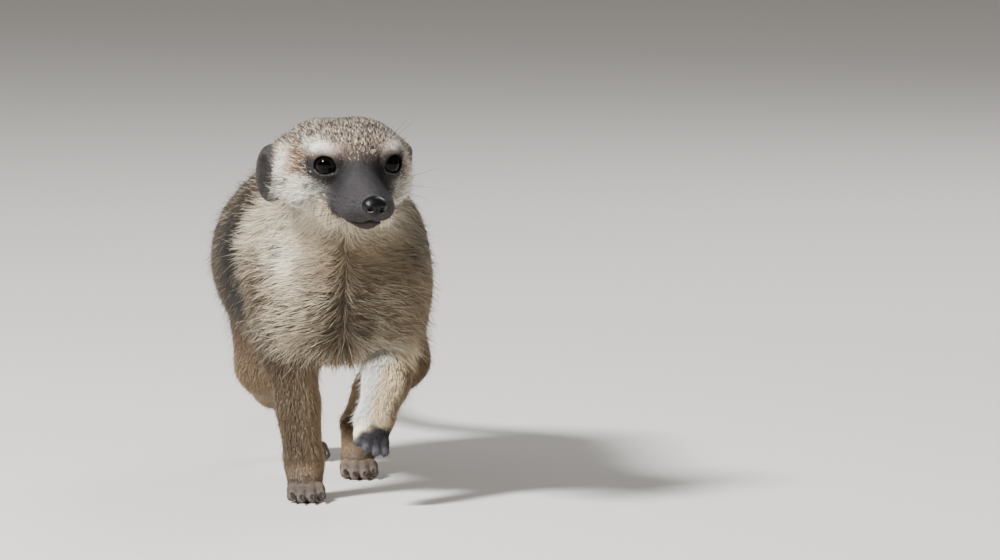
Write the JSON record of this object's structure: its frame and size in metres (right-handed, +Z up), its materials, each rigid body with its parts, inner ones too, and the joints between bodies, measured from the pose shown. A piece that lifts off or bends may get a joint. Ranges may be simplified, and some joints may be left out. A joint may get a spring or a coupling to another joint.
{
  "type": "meerkat figure",
  "caption": "Life-size standing model of a walking meerkat with its left forepaw lifted, head turned slightly and tail trailing, for display.",
  "frame": {"origin": "on the floor, under the middle of the model's bounding box", "axes": "+Z up, -Y towards the head, +X towards the animal's left"},
  "size_m": [0.1018, 0.4882, 0.1694],
  "materials": {
    "coat": "grizzled grey-brown fur",
    "face": "short pale fur with dark eye patches",
    "legs": "short tan-grey fur",
    "paws": "short grey-brown fur and dark claws",
    "tail": "tan fur with a dark tip",
    "ears": "near-black short fur",
    "eyes": "polished dark brown",
    "nose": "moist black leather"
  },
  "bodies": {
    "root": {"trunk": "coat", "neck": "coat", "head": "face", "ear_left": "ears", "ear_right": "ears", "eye_left": "eyes", "eye_right": "eyes", "nose": "nose", "foreleg_right": "legs", "forefoot_right": "paws", "foreleg_left": "legs", "forefoot_left": "paws", "hindleg_right": "legs", "hindfoot_right": "paws", "hindleg_left": "legs", "hindfoot_left": "paws", "tail_base": "tail", "tail_middle": "tail", "tail_tip": "tail"}
  },
  "joints": []
}
